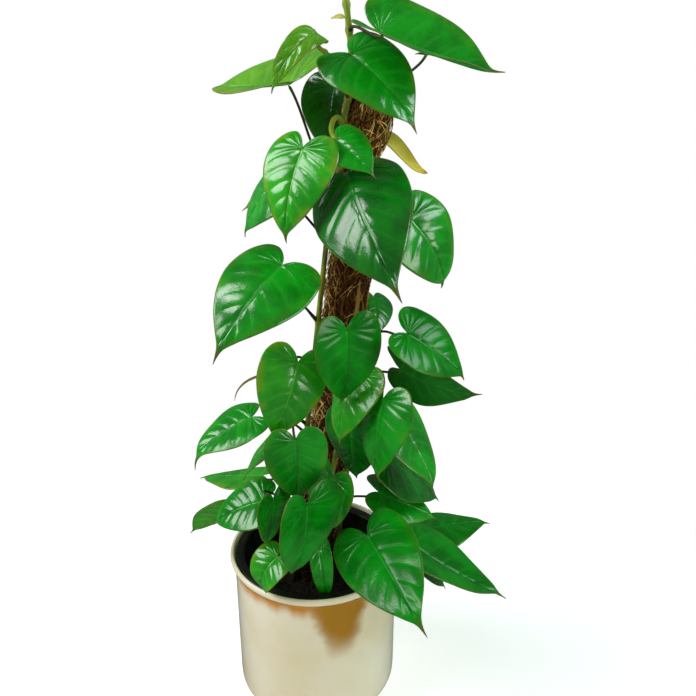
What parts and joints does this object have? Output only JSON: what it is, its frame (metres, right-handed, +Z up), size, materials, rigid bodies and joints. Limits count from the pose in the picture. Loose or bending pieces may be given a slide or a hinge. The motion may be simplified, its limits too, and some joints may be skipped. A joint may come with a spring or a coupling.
{
  "type": "potted philodendron",
  "caption": "Climbing plant with glossy heart-shaped leaves on a leaning coir pole, in a nursery pot inside a round glazed cachepot.",
  "frame": {"origin": "centre of the cachepot's flat foot, on the surface it stands on", "axes": "+Z up; the plant's fuller side faces -Y; the pole leans towards +X"},
  "size_m": [0.3141, 0.3023, 0.7341],
  "materials": {
    "glaze": "gloss",
    "black_plastic": "matte",
    "potting_mix": "matte",
    "timber": "matte",
    "coir": "matte",
    "vine": "satin",
    "leaf": "gloss",
    "sheath": "matte"
  },
  "bodies": {
    "root": {"cachepot": "glaze", "nursery_pot": "black_plastic", "soil": "potting_mix", "pole_core": "timber", "coir_sleeve": "coir", "vine_main": "vine", "vine_right": "vine", "vine_back": "vine", "vine_front": "vine", "leaf_01": "leaf", "leaf_02": "leaf", "leaf_03": "leaf", "leaf_04": "leaf", "leaf_05": "leaf", "leaf_06": "leaf", "leaf_07": "leaf", "leaf_08": "leaf", "leaf_09": "leaf", "leaf_10": "leaf", "leaf_11": "leaf", "leaf_12": "leaf", "leaf_13": "leaf", "leaf_14": "leaf", "leaf_15": "leaf", "leaf_16": "leaf", "leaf_17": "leaf", "leaf_18": "leaf", "leaf_19": "leaf", "leaf_20": "leaf", "leaf_21": "leaf", "leaf_22": "leaf", "leaf_23": "leaf", "leaf_24": "leaf", "leaf_25": "leaf", "leaf_26": "leaf", "leaf_27": "leaf", "leaf_28": "leaf", "leaf_29": "leaf", "leaf_30": "leaf", "leaf_31": "leaf", "leaf_32": "leaf", "leaf_33": "leaf", "leaf_34": "leaf", "leaf_35": "leaf", "leaf_36": "leaf", "leaf_37": "leaf", "leaf_38": "leaf", "leaf_39": "leaf", "leaf_40": "leaf", "leaf_41": "leaf", "leaf_42": "leaf", "leaf_43": "leaf", "leaf_44": "leaf", "leaf_45": "leaf", "sheath_right": "sheath", "sheath_curled": "sheath", "sheath_tip": "sheath", "sheath_front": "sheath", "new_leaf": "leaf"}
  },
  "joints": []
}
